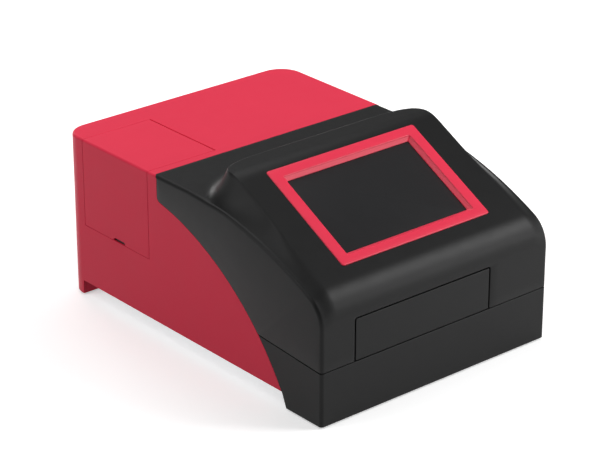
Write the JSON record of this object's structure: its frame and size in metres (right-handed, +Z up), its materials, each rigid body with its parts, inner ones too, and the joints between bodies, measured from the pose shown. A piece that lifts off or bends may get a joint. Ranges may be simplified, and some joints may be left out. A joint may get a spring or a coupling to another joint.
{
  "type": "microplate reader",
  "caption": "Bench-top microplate reader with a tilted display console, a motor-driven plate drawer and a side access door.",
  "frame": {"origin": "centre of the footprint, on the surface the rubber feet stand on", "axes": "+X to the user's right seen from the front, -Y out of the front face, +Z up"},
  "size_m": [0.3, 0.414, 0.209],
  "materials": {
    "cover_black": "satin black moulded plastic",
    "drawer_black": "satin black moulded plastic",
    "housing_red": "satin red paint",
    "bezel_red": "bright red moulded plastic",
    "screen_glass": "dark touch glass",
    "rubber_black": "matte rubber",
    "sheet_steel": "zinc-plated sheet",
    "bright_steel": "ground bar",
    "screw_steel": "plated screws",
    "tray_grey": "dark grey anodised tray",
    "bearing_bronze": "sintered bronze",
    "machined_aluminium": "machined",
    "bridge_black": "black anodised",
    "motor_black": "black painted",
    "belt_black": "toothed rubber belt",
    "clear_glass": "polished lenses",
    "filter_glass": "coated interference filters",
    "board_green": "solder-masked board",
    "guide_black": "black sleeve",
    "lamp_glass": "clear lamp",
    "fan_black": "black moulded fan",
    "socket_black": "black moulded socket",
    "rocker_red": "red rocker",
    "inner_black": "black moulded frame",
    "magnet_grey": "nickel-plated magnet"
  },
  "bodies": {
    "case": {"base_shell": "cover_black", "front_cover": "cover_black", "rear_housing": "housing_red", "rear_foot_bar": "housing_red", "rubber_feet": "rubber_black", "chassis": "sheet_steel", "base_screws": "screw_steel", "display_bezel": "bezel_red", "touch_glass": "screen_glass", "lcd_module": "machined_aluminium", "display_frame": "sheet_steel", "display_board": "board_green", "guide_rod_left": "bright_steel", "guide_rod_right": "bright_steel", "rod_supports": "machined_aluminium", "motor_bracket": "sheet_steel", "drive_motor": "motor_black", "drive_belt": "belt_black", "idler_bracket": "sheet_steel", "idler_pin": "bright_steel", "home_sensor": "inner_black", "optic_bridge": "bridge_black", "bridge_lenses": "clear_glass", "detector_board": "board_green", "light_guide": "guide_black", "wheel_bracket": "machined_aluminium", "wheel_motor": "motor_black", "lamp_housing": "machined_aluminium", "lamp": "lamp_glass", "lamp_lens": "clear_glass", "fan_frame": "fan_black", "fan_guard": "bright_steel", "door_frame": "inner_black", "door_pin": "bright_steel", "door_magnet": "magnet_grey", "power_supply": "machined_aluminium", "main_board": "board_green", "connector_panel": "sheet_steel", "mains_inlet": "socket_black", "switch_body": "socket_black", "usb_sockets": "sheet_steel", "serial_socket": "sheet_steel"},
    "drawer": {"drawer_front": "drawer_black", "plate_tray": "tray_grey", "carriage_bushings": "bearing_bronze", "clamp_pin": "bright_steel", "belt_clamp": "machined_aluminium", "sensor_flag": "inner_black"},
    "clamp": {"plate_clamp": "machined_aluminium"},
    "pulley": {"drive_pulley": "machined_aluminium", "motor_shaft": "bright_steel"},
    "idler": {"idler_pulley": "machined_aluminium"},
    "door": {"access_door": "housing_red"},
    "wheel": {"filter_wheel": "bridge_black", "wheel_shaft": "bright_steel", "optical_filters": "filter_glass"},
    "fan": {"fan_rotor": "fan_black"},
    "rocker": {"power_rocker": "rocker_red"}
  },
  "joints": [
    {"name": "drawer_slide", "type": "slide", "parent": "case", "child": "drawer", "axis": [0, -1, 0], "range_m": [0, 0.125]},
    {"name": "clamp_swing", "type": "hinge", "parent": "drawer", "child": "clamp", "pos_m": [0.04823, -0.10091, 0.07], "axis": [0, 0, -1], "range_deg": [0, 20], "stiffness_Nm_per_rad": 0.01, "springref_deg": -5.73},
    {"name": "pulley_spin", "type": "hinge", "parent": "case", "child": "pulley", "pos_m": [-0.019, 0.03, 0.043], "axis": [1, 0, 0], "range_deg": [-20, 925]},
    {"name": "idler_spin", "type": "hinge", "parent": "case", "child": "idler", "pos_m": [-0.019, -0.185, 0.043], "axis": [1, 0, 0], "range_deg": [-20, 925]},
    {"name": "door_hinge", "type": "hinge", "parent": "case", "child": "door", "pos_m": [-0.0647, 0.11725, 0.1786], "axis": [0, 1, 0], "range_deg": [0, 94]},
    {"name": "wheel_spin", "type": "hinge", "parent": "case", "child": "wheel", "pos_m": [-0.1, 0.101, 0.104], "axis": [0, 1, 0], "continuous": true},
    {"name": "fan_spin", "type": "hinge", "parent": "case", "child": "fan", "pos_m": [-0.072, 0.19, 0.104], "axis": [0, 1, 0], "continuous": true},
    {"name": "rocker_tilt", "type": "hinge", "parent": "case", "child": "rocker", "pos_m": [0.0722, 0.2002, 0.044], "axis": [1, 0, 0], "range_deg": [0, 16]}
  ],
  "couplings": [
    {"joint": "pulley_spin", "follows": "drawer_slide", "rad_per_m": 125.66},
    {"joint": "idler_spin", "follows": "drawer_slide", "rad_per_m": 125.66}
  ]
}
